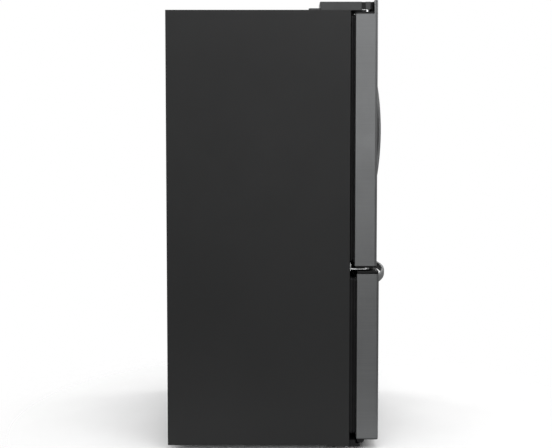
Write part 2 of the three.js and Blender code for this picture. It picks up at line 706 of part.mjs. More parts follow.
function drawerGasket() {
  const { bottom, top, wall } = DRAWER_GASKET;
  const depths = [CABINET_FRONT + 0.4, DRAWER_BACK - 0.3 - LINER_WALL - 0.3];
  return frame([-HALF + 12, HALF - 12], [bottom, top], wall, depths);
}

function drawerHandle() {
  const outline = bowedGrip(DRAWER_GRIP).map(([along, out]) => [along, y(DRAWER_FRONT + out)]);
  const half = DRAWER_GRIP_TALL / 2;
  return raise(shapeOf(outline), DRAWER_GRIP_HEIGHT - half, DRAWER_GRIP_HEIGHT + half);
}

// Carrier between the two telescopic rails: side bars with tongues, and a bar across the back.
function drawerCarrier() {
  const { inner, outer, bottom, top, back, front } = CARRIER;
  const cross = block([-inner - 1, inner + 1], [back, back + 6], [bottom + 12, top - 6]);
  const pieces = SIDES.flatMap(([side]) => [
    block([side * inner, side * outer], [back, front], [bottom, top]),
    block([side * (outer - 1), side * (outer + 6)], [back, front - 14], [bottom + 9, top - 10]),
  ]);
  return carve(cross, pieces);
}

// The fixed half of a telescopic rail: a channel screwed to the freezer wall, open towards the carrier.
function drawerRail(side) {
  const { back, front, lip, web } = RAIL;
  const wall = FREEZER.half - GAP - LINER_WALL - 0.4;
  const [bottom, top] = [CARRIER.bottom - 8, CARRIER.top + 5.5];
  const profile = shapeOf([
    [side * wall, bottom], [side * wall, top], [side * lip, top], [side * lip, top - web],
    [side * (wall - web), top - web], [side * (wall - web), bottom + web], [side * lip, bottom + web],
    [side * lip, bottom],
  ]);
  return deepen(profile, back, front);
}

// The deep basket that hangs in the carrier by its flanged rim.
function freezerBasket() {
  const { back, front, bottom, wall, rim } = BASKET;
  const half = CARRIER.inner - 2;
  const flangeHalf = CARRIER.outer - 2;
  const top = CARRIER.top + 0.5 + rim;
  const flange = block([-flangeHalf, flangeHalf], [back, front], [CARRIER.top + 0.5, top]);
  return bin([-half, half], [back, front], [bottom, top], wall, [flange]);
}

// The shallow tray that slides over the basket.
function freezerTray() {
  const { half, back, front, top, wall } = TRAY;
  return bin([-half, half], [back, front], [CARRIER.top + 4, top], wall);
}

// ---- assembly --------------------------------------------------------------------------------------

addPart('cabinet_wrap', 'sidePaint', cabinetWrap());
addPart('rear_panel', 'steel', rearPanel());
addPart('insulation', 'foam', insulation());
addPart('fresh_food_liner', 'whitePlastic', freshLiner());
addPart('freezer_liner', 'whitePlastic', freezerLiner());
addPart('centre_rail', 'greyPlastic', centreRail());
addPart('machine_cover', 'blackSteel', machineCover());
addPart('compressor', 'blackSteel', compressor());
addPart('evaporator_cover', 'whitePlastic', evaporatorCover());

addPart('base_deck', 'steel', baseDeck());
addPart('front_frame', 'blackSteel', frontFrame());
addPart('base_grille', 'blackPlastic', baseGrille());

for (const [side, name] of SIDES) {
  addPart(`${name}_leveling_leg`, 'zinc', levelingLeg(side));
  addPart(`front_${name}_roller`, 'rubber', rollerWheel(side, FRONT_ROLLER));
  addPart(`rear_${name}_roller`, 'rubber', rollerWheel(side, REAR_ROLLER));
  addPart(`${name}_top_hinge`, 'zinc', topHinge(side));
  addPart(`${name}_hinge_cover`, 'greyPlastic', hingeCover(side));
  addPart(`${name}_middle_hinge`, 'zinc', middleHinge(side));
}

addPart('upper_shelf_frame', 'whitePlastic', shelfFrame(UPPER_LEDGE));
addPart('upper_shelf_glass', 'glass', shelfPane(UPPER_LEDGE));
addPart('middle_shelf_frame', 'whitePlastic', shelfFrame(MIDDLE_LEDGE));
addPart('middle_shelf_glass', 'glass', shelfPane(MIDDLE_LEDGE));
addPart('crisper_cover', 'glass', block(
  [-SHELF.half, SHELF.half], [SHELF.back, SHELF.front], [CRISPER_LEDGE + 0.4, CRISPER_LEDGE + 5.4],
));
addPart('control_panel', 'greyPlastic', controlPanel());

for (const [side, name] of SIDES) {
  addPart(`${name}_crisper`, 'clearPlastic', crisper(side));
  addPart(`${name}_door_skin`, 'blackStainless', doorSkin(side));
  addPart(`${name}_door_top_cap`, 'blackPlastic', doorTopCap(side));
  addPart(`${name}_door_bottom_cap`, 'blackPlastic', doorBottomCap(side));
  addPart(`${name}_door_liner`, 'whitePlastic', doorLiner(side));
  addPart(`${name}_door_gasket`, 'rubber', doorGasket(side));
  addPart(`${name}_upper_bin`, 'clearPlastic', doorBin(side, UPPER_BIN));
  addPart(`${name}_lower_bin`, 'clearPlastic', doorBin(side, LOWER_BIN));
  addPart(`${name}_door_handle`, 'blackStainless', doorHandle(side));
}
addPart('flip_mullion', 'greyPlastic', flipMullion());

addPart('drawer_skin', 'blackStainless', drawerSkin());
addPart('drawer_top_cap', 'blackPlastic', drawerCap([DRAWER_TOP + 0.4, DRAWER_CAP_TOP]));
addPart('drawer_bottom_cap', 'blackPlastic', drawerBottomCap());
addPart('drawer_liner', 'whitePlastic', drawerLiner());
addPart('drawer_gasket', 'rubber', drawerGasket());
addPart('drawer_handle', 'blackStainless', drawerHandle());
addPart('drawer_carrier', 'zinc', drawerCarrier());
for (const [side, name] of SIDES) addPart(`${name}_drawer_rail`, 'zinc', drawerRail(side));
addPart('freezer_basket', 'clearPlastic', freezerBasket());
addPart('freezer_tray', 'clearPlastic', freezerTray());

export default refrigerator;
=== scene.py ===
import json
import math

import bmesh
import bpy
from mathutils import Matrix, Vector


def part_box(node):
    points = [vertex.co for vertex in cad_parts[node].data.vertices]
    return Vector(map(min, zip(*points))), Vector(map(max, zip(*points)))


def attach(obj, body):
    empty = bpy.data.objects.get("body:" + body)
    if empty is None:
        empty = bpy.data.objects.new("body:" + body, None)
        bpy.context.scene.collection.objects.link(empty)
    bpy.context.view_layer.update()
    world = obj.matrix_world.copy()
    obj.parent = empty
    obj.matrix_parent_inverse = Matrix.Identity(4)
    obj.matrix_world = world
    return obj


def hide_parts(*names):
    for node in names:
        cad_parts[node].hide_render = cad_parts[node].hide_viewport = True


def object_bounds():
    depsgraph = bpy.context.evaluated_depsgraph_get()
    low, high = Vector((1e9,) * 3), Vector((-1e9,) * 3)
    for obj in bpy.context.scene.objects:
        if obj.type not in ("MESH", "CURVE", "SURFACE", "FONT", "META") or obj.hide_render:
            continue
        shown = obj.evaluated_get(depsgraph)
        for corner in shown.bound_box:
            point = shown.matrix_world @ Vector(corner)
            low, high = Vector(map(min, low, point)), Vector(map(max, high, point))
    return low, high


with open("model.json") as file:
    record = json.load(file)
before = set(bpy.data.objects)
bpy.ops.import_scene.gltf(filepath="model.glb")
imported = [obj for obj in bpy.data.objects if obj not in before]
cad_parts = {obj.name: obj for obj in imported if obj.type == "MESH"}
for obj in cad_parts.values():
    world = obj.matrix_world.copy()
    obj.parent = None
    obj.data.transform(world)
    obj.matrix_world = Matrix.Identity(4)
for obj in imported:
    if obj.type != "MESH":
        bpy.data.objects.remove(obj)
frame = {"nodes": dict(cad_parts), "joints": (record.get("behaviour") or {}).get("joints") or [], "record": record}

MM = 0.001
WELD = 0.02 * MM
SHARP = math.radians(34)
CAD_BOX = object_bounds()
SIDES = ("left", "right")
BODY_OF = {
    node: body
    for body, nodes in frame["record"]["behaviour"]["bodies"].items()
    for node in nodes
}
SLOT_OF = {row["node"]: row["material_slot"] for row in frame["record"]["subparts"]}
scene = bpy.context.scene


# ---- camera, lights and floor -----------------------------------------------------------------------

CAMERA_DISTANCE = 3.6
CAMERA_HEIGHT = 1.195
CAMERA_PITCH = math.radians(3.055)
CAMERA_LENS = 59.5
CAMERA_SHIFT = -0.045
CAMERA_OFFSET = 0.021

# The world's light runs from the first strength, low down, to the second, high up.
WORLD_RAMP = (-0.35, 0.75)
WORLD_STRENGTH = (0.36, 0.95)

# name: (place, target, size, watts)
LIGHTS = {
    "key_light": ((-1.6, -0.4, 3.1), (-0.3, -0.1, 1.2), (2.6, 2.0), 46),
    "front_light": ((0.8, -4.0, 3.4), (0, 0, 0.9), (3.0, 2.6), 90),
    "rear_light": ((1.5, 4.0, 3.4), (0, 0, 0.9), (3.0, 2.6), 70),
    "far_light": ((4.2, 0.4, 3.4), (0, 0, 0.9), (3.0, 2.6), 60),
    "side_fill": ((-6.5, 0, 1.5), (0, 0, 1.2), (5.0, 2.0), 62),
}
FLOOR_RADIUS = 4.0
FLOOR_SIDES = 96
FLOOR_FADE = (0.62, 1.5)


def make_camera():
    """Looks square at the left side, a little down."""
    camera = bpy.data.objects.new("camera", bpy.data.cameras.new("camera"))
    camera.data.lens = CAMERA_LENS
    camera.data.shift_y = CAMERA_SHIFT
    camera.location = (CAD_BOX[0].x - CAMERA_DISTANCE, CAMERA_OFFSET, CAMERA_HEIGHT)
    camera.rotation_euler = (math.pi / 2 - CAMERA_PITCH, 0, -math.pi / 2)
    scene.collection.objects.link(camera)
    scene.camera = camera


def make_area(name, place, target, size, power):
    """A soft rectangular light, out of the camera's sight."""
    light = bpy.data.objects.new(name, bpy.data.lights.new(name, "AREA"))
    light.data.shape = "RECTANGLE"
    light.data.size, light.data.size_y = size
    light.data.energy = power
    light.location = place
    light.rotation_euler = (Vector(target) - Vector(place)).to_track_quat("-Z", "Y").to_euler()
    light.visible_camera = False
    scene.collection.objects.link(light)


def make_world():
    """White behind the object; the light that falls on it is dimmer and comes more from above."""
    world = bpy.data.worlds.new("studio")
    world.use_nodes = True
    scene.world = world
    tree = world.node_tree
    tree.nodes.clear()
    out = tree.nodes.new("ShaderNodeOutputWorld")
    mix = tree.nodes.new("ShaderNodeMixShader")
    seen = tree.nodes.new("ShaderNodeBackground")
    lit = tree.nodes.new("ShaderNodeBackground")
    path = tree.nodes.new("ShaderNodeLightPath")
    place = tree.nodes.new("ShaderNodeTexCoord")
    split = tree.nodes.new("ShaderNodeSeparateXYZ")
    ramp = tree.nodes.new("ShaderNodeMapRange")
    seen.inputs["Color"].default_value = (1, 1, 1, 1)
    ramp.inputs["From Min"].default_value = WORLD_RAMP[0]
    ramp.inputs["From Max"].default_value = WORLD_RAMP[1]
    ramp.inputs["To Min"].default_value = WORLD_STRENGTH[0]
    ramp.inputs["To Max"].default_value = WORLD_STRENGTH[1]
    tree.links.new(place.outputs["Generated"], split.inputs["Vector"])
    tree.links.new(split.outputs["Z"], ramp.inputs["Value"])
    tree.links.new(ramp.outputs["Result"], lit.inputs["Strength"])
    tree.links.new(path.outputs["Is Camera Ray"], mix.inputs["Fac"])
    tree.links.new(lit.outputs["Background"], mix.inputs[1])
    tree.links.new(seen.outputs["Background"], mix.inputs[2])
    tree.links.new(mix.outputs["Shader"], out.inputs["Surface"])


def make_stage():
    """World, lights and a round floor."""
    scene.view_settings.view_transform = "Standard"
    make_world()
    for name, (place, target, size, power) in LIGHTS.items():
        make_area(name, place, target, size, power)
    bm = bmesh.new()
    bmesh.ops.create_circle(bm, cap_ends=True, radius=FLOOR_RADIUS, segments=FLOOR_SIDES)
    mesh = bpy.data.meshes.new("floor")
    bm.to_mesh(mesh)
    bm.free()
    floor = bpy.data.objects.new("floor", mesh)
    floor.location.z = CAD_BOX[0].z
    scene.collection.objects.link(floor)
    floor.data.materials.append(make_floor_paint())


# ---- materials --------------------------------------------------------------------------------------


class Paint:
    """A node material under construction: one Principled shader and the textures that feed it.

    Texture scales are per metre, because they read the object's own coordinates.
    """

    def __init__(self, name, **sockets):
        self.material = bpy.data.materials.new(name)
        self.material.use_nodes = True
        self.tree = self.material.node_tree
        self.shader = self.tree.nodes["Principled BSDF"]
        self.place = self.tree.nodes.new("ShaderNodeTexCoord").outputs["Object"]
        for socket, value in sockets.items():
            self.shader.inputs[socket.replace("_", " ")].default_value = value

    def node(self, kind, **values):
        made = self.tree.nodes.new(kind)
        for name, value in values.items():
            made.inputs[name.replace("_", " ")].default_value = value
        return made

    def link(self, start, end):
        self.tree.links.new(start, end)

    def stretched(self, scale):
        """Object coordinates in metres, scaled along each axis."""
        mapping = self.node("ShaderNodeMapping", Scale=scale)
        self.link(self.place, mapping.inputs["Vector"])
        return mapping.outputs["Vector"]

    def noise(self, scale, detail=3.0, rough=0.5, at=None):
        made = self.node("ShaderNodeTexNoise", Scale=scale, Detail=detail, Roughness=rough)
        self.link(at or self.place, made.inputs["Vector"])
        return made.outputs["Fac"]

    def cells(self, scale, output="Distance"):
        made = self.node("ShaderNodeTexVoronoi", Scale=scale)
        self.link(self.place, made.inputs["Vector"])
        return made.outputs[output]

    def between(self, factor, low, high, start=0.3, end=0.7):
        """A number that runs from low to high as the factor runs from start to end."""
        made = self.node("ShaderNodeMapRange", From_Min=start, From_Max=end, To_Min=low, To_Max=high)
        self.link(factor, made.inputs["Value"])
        return made.outputs["Result"]

    def blend(self, factor, low, high, start=0.3, end=0.7):
        """A colour that runs from low to high as the factor runs from start to end."""
        ramp = self.tree.nodes.new("ShaderNodeValToRGB")
        ramp.color_ramp.elements[0].position = start
        ramp.color_ramp.elements[1].position = end
        ramp.color_ramp.elements[0].color = (*low, 1)
        ramp.color_ramp.elements[1].color = (*high, 1)
        self.link(factor, ramp.inputs["Fac"])
        return ramp.outputs["Color"]

    def mixed(self, factor, first, second):
        """Two colours mixed by a factor, each a linked output."""
        made = self.tree.nodes.new("ShaderNodeMix")
        made.data_type = "RGBA"
        self.link(factor, made.inputs["Factor"])
        self.link(first, made.inputs["A"])
        self.link(second, made.inputs["B"])
        return made.outputs["Result"]

    def added(self, first, second):
        made = self.tree.nodes.new("ShaderNodeMath")
        self.link(first, made.inputs[0])
        self.link(second, made.inputs[1])
        return made.outputs["Value"]

    def edges(self, reach):
        """1 on worn convex edges, 0 on flats, from how far the bevelled normal turns."""
        bevel = self.node("ShaderNodeBevel", Radius=reach)
        bevel.samples = 4
        shape = self.tree.nodes.new("ShaderNodeNewGeometry")
        dot = self.tree.nodes.new("ShaderNodeVectorMath")
        dot.operation = "DOT_PRODUCT"
        self.link(bevel.outputs["Normal"], dot.inputs[0])
        self.link(shape.outputs["Normal"], dot.inputs[1])
        return self.between(dot.outputs["Value"], 1.0, 0.0, 0.75, 0.99)

    def colour(self, output):
        self.link(output, self.shader.inputs["Base Color"])

    def rough(self, output):
        self.link(output, self.shader.inputs["Roughness"])

    def bump(self, height, strength, distance):
        made = self.node("ShaderNodeBump", Strength=strength, Distance=distance)
        self.link(height, made.inputs["Height"])
        self.link(made.outputs["Normal"], self.shader.inputs["Normal"])


def make_floor_paint():
    """Pale matt floor that thins out into the white background with distance from its centre."""
    paint = Paint("floor_paint", Specular_IOR_Level=0.1)
    paint.colour(paint.blend(paint.noise(3), (0.78, 0.78, 0.78), (0.81, 0.81, 0.81)))
    paint.rough(paint.between(paint.noise(12), 0.8, 0.9))
    reach = paint.tree.nodes.new("ShaderNodeVectorMath")
    reach.operation = "LENGTH"
    paint.link(paint.place, reach.inputs[0])
    fade = paint.node("ShaderNodeMapRange", From_Min=FLOOR_FADE[0], From_Max=FLOOR_FADE[1])
    fade.interpolation_type = "SMOOTHSTEP"
    paint.link(reach.outputs["Value"], fade.inputs["Value"])
    clear = paint.tree.nodes.new("ShaderNodeBsdfTransparent")
    mix = paint.tree.nodes.new("ShaderNodeMixShader")
    paint.link(fade.outputs["Result"], mix.inputs["Fac"])
    paint.link(paint.shader.outputs["BSDF"], mix.inputs[1])
    paint.link(clear.outputs["BSDF"], mix.inputs[2])
    paint.link(mix.outputs["Shader"], paint.tree.nodes["Material Output"].inputs["Surface"])
    return paint.material


def side_paint():
    """Dark textured enamel: fine pebbling, faint cloudiness and slightly polished edges."""
    paint = Paint("side_paint", Specular_IOR_Level=0.16, IOR=1.45)
    cloud = paint.blend(paint.noise(1.7, 4), (0.0198, 0.0201, 0.0203), (0.0226, 0.0229, 0.0231))
    worn = paint.blend(paint.noise(60), (0.028, 0.0285, 0.029), (0.04, 0.0405, 0.041))
    paint.colour(paint.mixed(paint.edges(0.0015), cloud, worn))
    paint.rough(paint.between(paint.noise(9, 5), 0.47, 0.54))
    pebble = paint.added(paint.noise(900, 2), paint.cells(620))
    paint.bump(pebble, 0.22, 0.0002)
    return paint.material


def brushed(name, low, high, roughness, grain=(3, 3, 900), strength=0.16):
    """Brushed metal whose fine lines run level round the panel."""
    paint = Paint(name, Metallic=0.92)
    lines = paint.noise(1.0, 6, 0.7, paint.stretched(grain))
    cloud = paint.noise(2.2, 3)
    mottle = paint.added(paint.between(lines, 0.0, 0.6), paint.between(cloud, 0.1, 0.3))
    tone = paint.blend(mottle, low, high, 0.2, 0.8)
    paint.colour(tone)
    smudge = paint.between(paint.noise(7, 5, 0.6), -0.03, 0.05)
    paint.rough(paint.added(paint.between(lines, roughness - 0.06, roughness + 0.08), smudge))
    paint.bump(lines, strength, 0.0002)
    return paint.material


def zinc_plate():
    """Bright zinc-plated steel, with soft crystalline clouding."""
    paint = Paint("zinc_plate", Metallic=1.0)
    soft = paint.between(paint.noise(45, 4), 0, 0.6)
    crystals = paint.between(paint.cells(260), 0, 0.4)
    cloud = paint.added(soft, crystals)
    paint.colour(paint.blend(cloud, (0.55, 0.56, 0.56), (0.82, 0.83, 0.84)))
    paint.rough(paint.between(paint.noise(120, 4), 0.24, 0.42))
    paint.bump(paint.noise(420, 3), 0.12, 0.0002)
    return paint.material


def moulded(name, low, high, roughness, grain=700, strength=0.2, specular=0.5):
    """Injection-moulded plastic with a fine spark-eroded grain."""
    paint = Paint(name, Specular_IOR_Level=specular)
    paint.colour(paint.blend(paint.noise(6, 4), low, high))
    paint.rough(paint.between(paint.noise(25, 4), roughness - 0.06, roughness + 0.08))
    paint.bump(paint.added(paint.noise(grain, 3), paint.cells(grain * 0.8)), strength, 0.00015)
    return paint.material


def clear_plastic():
    """Clear moulded polystyrene, a little cool, with faint flow lines."""
    paint = Paint("clear_plastic", Transmission_Weight=0.86, IOR=1.5)
    flow = paint.noise(1.0, 3, 0.5, paint.stretched((6, 6, 30)))
    paint.colour(paint.blend(flow, (0.82, 0.88, 0.9), (0.9, 0.94, 0.95)))
    paint.rough(paint.between(paint.noise(30, 3), 0.07, 0.16))
    paint.bump(flow, 0.05, 0.0004)
    return paint.material


def shelf_glass():
    """Tempered glass with a green body tint."""
    paint = Paint("shelf_glass", Transmission_Weight=0.94, IOR=1.52)
    paint.colour(paint.blend(paint.noise(4), (0.72, 0.86, 0.8), (0.8, 0.91, 0.86)))
    paint.rough(paint.between(paint.noise(18, 4), 0.01, 0.05))
    return paint.material


def insulating_foam():
    """Poured polyurethane foam with open cells on its skin."""
    paint = Paint("insulating_foam", Roughness=0.9)
    paint.colour(paint.blend(paint.noise(14, 5), (0.62, 0.5, 0.25), (0.78, 0.68, 0.42)))
    paint.rough(paint.between(paint.noise(60), 0.85, 0.95))
    paint.bump(paint.cells(380), 0.6, 0.0008)
    return paint.material


def galvanised_steel():
    """Hot-dip galvanised sheet with large grey spangles."""
    paint = Paint("galvanised_steel", Metallic=0.85)
    grey = paint.tree.nodes.new("ShaderNodeRGBToBW")
    paint.link(paint.cells(95, "Color"), grey.inputs["Color"])
    spangle = grey.outputs["Val"]
    paint.colour(paint.blend(spangle, (0.3, 0.308, 0.313), (0.37, 0.378, 0.385), 0.1, 0.9))
    paint.rough(paint.between(spangle, 0.36, 0.52, 0.1, 0.9))
    paint.bump(paint.noise(300, 4), 0.1, 0.0002)
    return paint.material


def black_stainless():
    return brushed("black_stainless", (0.127, 0.13, 0.132), (0.161, 0.164, 0.166), 0.4)


def black_plastic():
    return moulded("black_plastic", (0.005, 0.005, 0.0055), (0.008, 0.008, 0.0085), 0.55, specular=0.18)


def grey_plastic():
    return moulded("grey_plastic", (0.03, 0.0305, 0.032), (0.038, 0.0385, 0.04), 0.5, 900, 0.25, 0.35)


def white_plastic():
    return moulded("white_plastic", (0.7, 0.72, 0.73), (0.78, 0.8, 0.81), 0.34, 260, 0.08)


def gasket_rubber():
    return moulded("gasket_rubber", (0.006, 0.006, 0.0065), (0.01, 0.01, 0.0105), 0.62, 500, 0.25, 0.16)


def black_steel():
    return moulded("black_steel", (0.009, 0.009, 0.01), (0.016, 0.016, 0.017), 0.42, 500, 0.15, 0.4)


def roller_plastic():
    return moulded("roller_plastic", (0.02, 0.02, 0.021), (0.03, 0.03, 0.032), 0.5, 500, 0.2)


LOOKS = {
    "side_paint": side_paint(),
    "black_stainless": black_stainless(),
    "zinc_plate": zinc_plate(),
    "black_plastic": black_plastic(),
    "grey_plastic": grey_plastic(),
    "white_plastic": white_plastic(),
    "clear_plastic": clear_plastic(),
    "shelf_glass": shelf_glass(),
    "gasket_rubber": gasket_rubber(),
    "insulating_foam": insulating_foam(),
    "galvanised_steel": galvanised_steel(),
    "black_steel": black_steel(),
    "roller_plastic": roller_plastic(),
}


# ---- mesh helpers -----------------------------------------------------------------------------------


def piece(name, bm, body, slot, stands_for=(), sharp=SHARP):
    """Turns a bmesh into a finished, shaded piece that rides on a body."""
    bmesh.ops.recalc_face_normals(bm, faces=bm.faces)
    mesh = bpy.data.meshes.new(name)
    bm.to_mesh(mesh)
    bm.free()
    mesh.shade_smooth()
    mesh.set_sharp_from_angle(angle=sharp)
    mesh.materials.append(LOOKS[slot])
    made = bpy.data.objects.new(name, mesh)
    scene.collection.objects.link(made)
    keep_flats(made)
    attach(made, body)
    if stands_for:
        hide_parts(*stands_for)
    return made


def keep_flats(target):
    """Shades flat faces flat right up to the rounded edges beside them."""
    normals = target.modifiers.new("flats", "WEIGHTED_NORMAL")
    normals.mode = "FACE_AREA"
    normals.weight = 100
    normals.keep_sharp = True


def loft(bm, loops, close=False, cap_start=False, cap_end=False):
    """Skins a list of closed loops that all have the same number of points."""
    rings = [[bm.verts.new(point) for point in loop] for loop in loops]
    after = rings[1:] + (rings[:1] if close else [])
    for ring, following in zip(rings, after):
        count = len(ring)
        for i in range(count):
            j = (i + 1) % count
            bm.faces.new((ring[i], ring[j], following[j], following[i]))
    if cap_start:
        bm.faces.new(rings[0])
    if cap_end:
        bm.faces.new(rings[-1])


def rounded_rect(u0, u1, v0, v1, radius, steps=5):
    """Points round a rectangle with round corners."""
    points = []
    corners = ((u1, v1, 0), (u0, v1, 1), (u0, v0, 2), (u1, v0, 3))
    for u, v, quarter in corners:
        cu = u - math.copysign(radius, u - (u0 + u1) / 2)
        cv = v - math.copysign(radius, v - (v0 + v1) / 2)
        for i in range(steps + 1):
            angle = math.pi / 2 * (quarter + i / steps)
            points.append((cu + radius * math.cos(angle), cv + radius * math.sin(angle)))
    return points


def level_loop(lo, hi, inset, z, radius):
    """A round-cornered rectangle lying level at height z, inset from a box's sides."""
    outline = rounded_rect(lo[0] + inset, hi[0] - inset, lo[1] + inset, hi[1] - inset, radius)
    return [(u, v, z) for u, v in outline]


def upright_loop(x0, x1, z0, z1, y, radius, steps=5):
    """A round-cornered rectangle standing at one depth y."""
    return [(u, y, v) for u, v in rounded_rect(x0, x1, z0, z1, radius, steps)]


def add_block(bm, lo, hi, radius, steps=2):
    """A box with all its edges rounded."""
    made = bmesh.ops.create_cube(bm, size=1)
    middle = (Vector(lo) + Vector(hi)) / 2
    size = Vector(hi) - Vector(lo)
    for vert in made["verts"]:
        vert.co = Vector(a * b for a, b in zip(vert.co, size)) + middle
    edges = {edge for vert in made["verts"] for edge in vert.link_edges}
    bmesh.ops.bevel(bm, geom=list(edges), offset=radius, segments=steps, profile=0.5, affect="EDGES")


def add_turned(bm, centre, axis, profile, sides=24):
    """A turned solid: (radius, distance along axis) pairs from one end to the other."""
    axis = Vector(axis).normalized()
    first = axis.orthogonal().normalized()
    second = axis.cross(first)
    loops = []
    for radius, along in profile:
        middle = Vector(centre) + axis * along
        turn = [2 * math.pi * i / sides for i in range(sides)]
        loops.append([middle + (first * math.cos(t) + second * math.sin(t)) * radius for t in turn])
    loft(bm, loops, cap_start=True, cap_end=True)


def add_screw(bm, centre, axis, radius, height):
    """A hex washer-head screw standing on a surface."""
    washer = [(radius, -0.2 * MM), (radius, height * 0.35), (radius * 0.92, height * 0.5)]
    add_turned(bm, centre, axis, washer, 20)
    head = [
        (radius * 0.62, 0), (radius * 0.62, height * 0.85),
        (radius * 0.5, height), (radius * 0.2, height),
    ]
    add_turned(bm, centre, axis, head, 6)


def node_bmesh(node):
    """The CAD node's own shape with its flat faces whole again, to be rounded into a new piece."""
    bm = bmesh.new()
    bm.from_mesh(frame["nodes"][node].data)
    bmesh.ops.remove_doubles(bm, verts=bm.verts, dist=WELD)
    bmesh.ops.dissolve_limit(bm, angle_limit=math.radians(0.5), verts=bm.verts, edges=bm.edges)
    return bm


def round_edges(bm, offset, steps=2, test=None, angle=28):
    """Bevels the sharp edges whose middle passes the test."""
    chosen = []
    for edge in bm.edges:
        if len(edge.link_faces) != 2 or edge.calc_face_angle(0) < math.radians(angle):
            continue
        if test is None or test((edge.verts[0].co + edge.verts[1].co) / 2):
            chosen.append(edge)
    bmesh.ops.bevel(
        bm, geom=chosen, offset=offset, segments=steps, profile=0.5, affect="EDGES", clamp_overlap=True
    )
    bmesh.ops.dissolve_degenerate(bm, dist=MM / 1000, edges=bm.edges)


def refined(node, name, offset, steps=2, rules=()):
    """A piece with the CAD node's shape: some edges rounded by the rules, then the rest by offset."""
    bm = node_bmesh(node)
    for width, segments, test in rules:
        round_edges(bm, width, segments, test)
    round_edges(bm, offset, steps)
    return piece(name, bm, BODY_OF[node], SLOT_OF[node], (node,))


def cut_away(target, boxes):
    """Cuts boxes, each (lowest corner, highest corner), out of a piece."""
    bm = bmesh.new()
    for lo, hi in boxes:
        made = bmesh.ops.create_cube(bm, size=1)
        for vert in made["verts"]:
            vert.co = Vector(a * (top - base) + (top + base) / 2 for a, base, top in zip(vert.co, lo, hi))
    mesh = bpy.data.meshes.new("cutter")
    bm.to_mesh(mesh)
    bm.free()
    cutter = bpy.data.objects.new("cutter", mesh)
    scene.collection.objects.link(cutter)
    modifier = target.modifiers.new("cut", "BOOLEAN")
    modifier.object = cutter
    modifier.operation = "DIFFERENCE"
    modifier.solver = "EXACT"
    bpy.context.view_layer.update()
    evaluated = target.evaluated_get(bpy.context.evaluated_depsgraph_get())
    shaped = bpy.data.meshes.new_from_object(evaluated)
    target.modifiers.clear()
    target.data = shaped
    shaped.set_sharp_from_angle(angle=SHARP)
    keep_flats(target)
    bpy.data.objects.remove(cutter)


def dress(node, bevel):
    """Keeps a CAD node and gives it its material, with softened edges."""
    kept = frame["nodes"][node]
    for material_slot in kept.material_slots:
        material_slot.material = LOOKS[SLOT_OF[node]]
    weld = kept.modifiers.new("weld", "WELD")
    weld.merge_threshold = WELD
    if bevel:
        rounding = kept.modifiers.new("round", "BEVEL")
        rounding.width = bevel
        rounding.segments = 2
        rounding.limit_method = "ANGLE"
        rounding.angle_limit = math.radians(35)
        keep_flats(kept)


# ---- cabinet ----------------------------------------------------------------------------------------


# CAD nodes that are kept, and how far their edges are rounded
KEPT_IN_CABINET = {
    "insulation": 0,
    "fresh_food_liner": 1.0 * MM,
    "freezer_liner": 0.6 * MM,
    "centre_rail": 0.3 * MM,
    "base_deck": 0.4 * MM,
    "front_frame": 0.5 * MM,
    "evaporator_cover": 2.0 * MM,
    "control_panel": 3.0 * MM,
    "upper_shelf_frame": 1.6 * MM,
    "upper_shelf_glass": 0.6 * MM,
    "middle_shelf_frame": 1.6 * MM,
    "middle_shelf_glass": 0.6 * MM,
    "crisper_cover": 1.0 * MM,
}


def make_cabinet():
    """The wrap with rolled outer corners, the back, the base, and the kept inner parts."""
    lo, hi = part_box("cabinet_wrap")

    def outer(middle):
        """True on the long outside corners, where two outer faces of the wrap meet."""
        faces = (
            min(abs(middle.x - lo.x), abs(middle.x - hi.x)) < 0.2 * MM,
            abs(middle.y - lo.y) < 0.5 * MM,
            abs(middle.z - hi.z) < 0.5 * MM,
        )
        return sum(faces) >= 2

    refined("cabinet_wrap", "cabinet_shell", 0.25 * MM, 1, [(2.6 * MM, 5, outer)])
    make_rear_panel()
    for node, bevel in KEPT_IN_CABINET.items():
        dress(node, bevel)
    make_compressor()
    refined("machine_cover", "machine_room_cover", 0.35 * MM)
    make_base_grille()


BEAD_ROWS = 6
BEAD_TALL = 32 * MM
BEAD_PROUD = 0.95 * MM
# (inset from the bead's edge, share of its full height)
BEAD_PROFILE = ((5 * MM, 0.75), (7 * MM, 0.95), (9 * MM, 1.0))
SHEET_SCREWS = 7
COVER_SCREWS = 5


def spread(start, end, count):
    """Evenly spaced numbers from start to end."""
    return [start + (end - start) * i / (count - 1) for i in range(count)]


